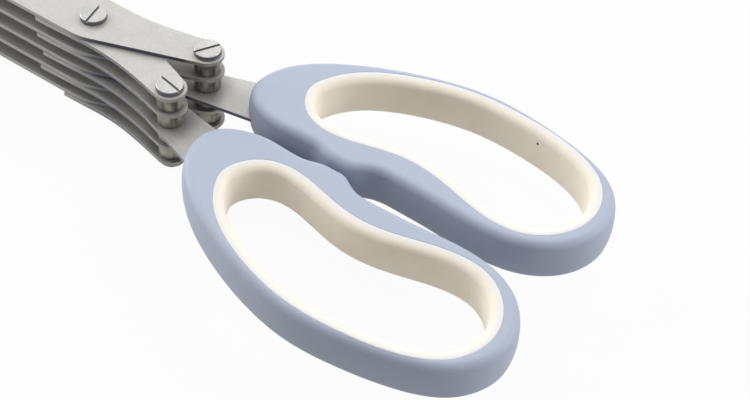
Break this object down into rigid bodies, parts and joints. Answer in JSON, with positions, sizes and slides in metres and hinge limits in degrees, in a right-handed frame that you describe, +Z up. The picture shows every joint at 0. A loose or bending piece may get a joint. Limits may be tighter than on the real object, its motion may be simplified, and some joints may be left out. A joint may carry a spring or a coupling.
{
  "type": "five-layer kitchen shears",
  "caption": "Herb shears with stacked steel blades that cut in pairs, one pivot screw, rear posts with spacers, and two-colour handles with soft-lined finger loops.",
  "frame": {"origin": "centre of the pivot nut's underside, on the pivot axis, the plane that the closed shears lie on", "axes": "+X along the closed blades to the tips, +Y to the left half, +Z up along the pivot axis, from nut to screw head"},
  "size_m": [0.1916, 0.0708, 0.022],
  "materials": {
    "blade_steel": "brushed along the blade",
    "fastener_steel": "turned, satin",
    "handle_shell": "fine matt moulding",
    "finger_liner": "soft matt elastomer"
  },
  "bodies": {
    "right_half": {"right_blade_1": "blade_steel", "right_blade_2": "blade_steel", "right_tang_blade": "blade_steel", "right_blade_4": "blade_steel", "right_blade_5": "blade_steel", "right_post_screw": "fastener_steel", "right_post_nut": "fastener_steel", "right_post_spacer_1": "fastener_steel", "right_post_spacer_2": "fastener_steel", "right_post_spacer_3": "fastener_steel", "right_post_spacer_4": "fastener_steel", "right_handle_shell": "handle_shell", "right_handle_liner": "finger_liner", "pivot_screw": "fastener_steel", "pivot_nut": "fastener_steel", "pivot_spacer_1": "fastener_steel", "pivot_spacer_2": "fastener_steel", "pivot_spacer_3": "fastener_steel", "pivot_spacer_4": "fastener_steel"},
    "left_half": {"left_blade_1": "blade_steel", "left_blade_2": "blade_steel", "left_tang_blade": "blade_steel", "left_blade_4": "blade_steel", "left_blade_5": "blade_steel", "left_post_screw": "fastener_steel", "left_post_nut": "fastener_steel", "left_post_spacer_1": "fastener_steel", "left_post_spacer_2": "fastener_steel", "left_post_spacer_3": "fastener_steel", "left_post_spacer_4": "fastener_steel", "left_handle_shell": "handle_shell", "left_handle_liner": "finger_liner"}
  },
  "joints": [
    {"name": "pivot", "type": "hinge", "parent": "right_half", "child": "left_half", "pos_m": [0, 0, 0], "axis": [0, 0, -1], "range_deg": [0, 135]}
  ]
}
